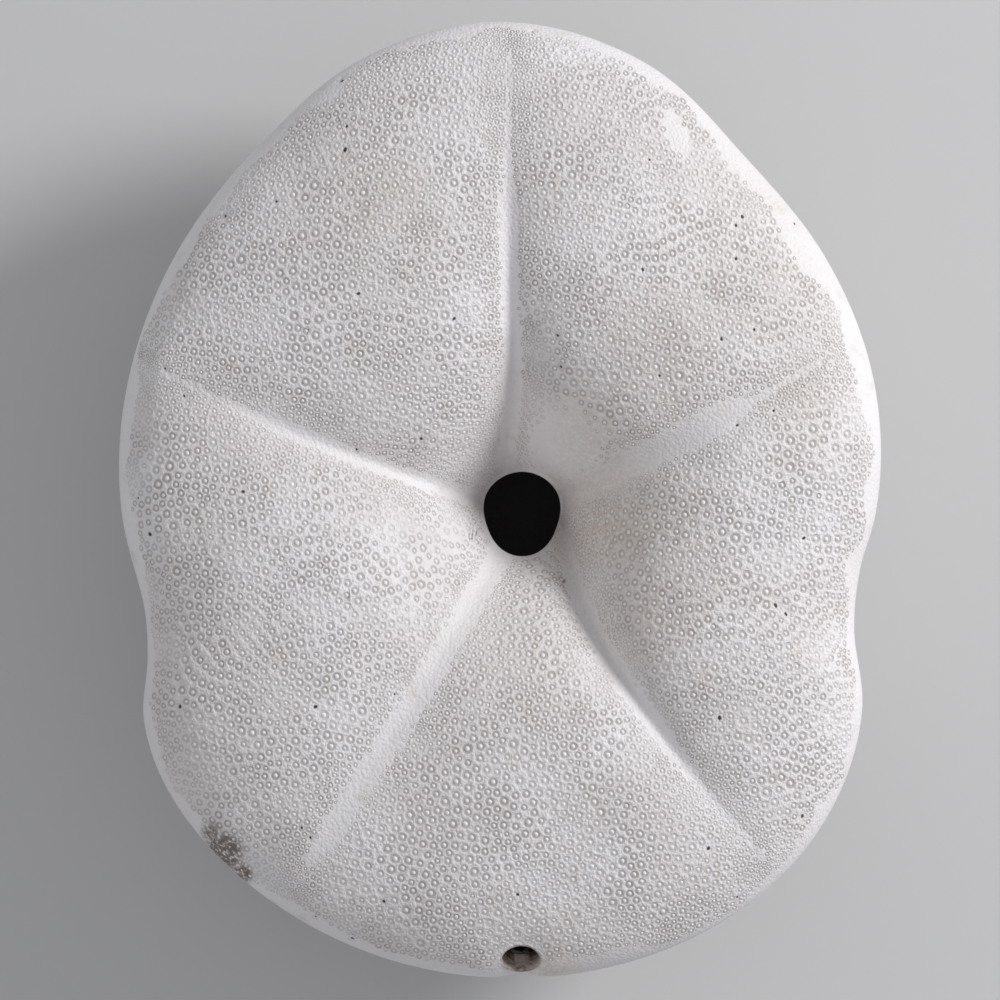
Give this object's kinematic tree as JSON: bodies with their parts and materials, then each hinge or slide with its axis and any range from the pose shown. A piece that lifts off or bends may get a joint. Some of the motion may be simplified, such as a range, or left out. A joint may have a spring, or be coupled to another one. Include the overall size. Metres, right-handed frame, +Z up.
{
  "type": "sea biscuit test",
  "caption": "Bleached hollow skeleton of a thick sand dollar, lying mouth side up, with a central mouth and food grooves",
  "frame": {"origin": "centre of the bounding box in plan, on the surface that the shell lies on", "axes": "+Z up, out of the mouth side; +Y to the animal's front, along the shell's length; +X to the right as seen from above"},
  "size_m": [0.0956, 0.12, 0.0411],
  "materials": {
    "calcite": "matte, finely studded, bleached white"
  },
  "bodies": {
    "root": {"test": "calcite"}
  },
  "joints": []
}
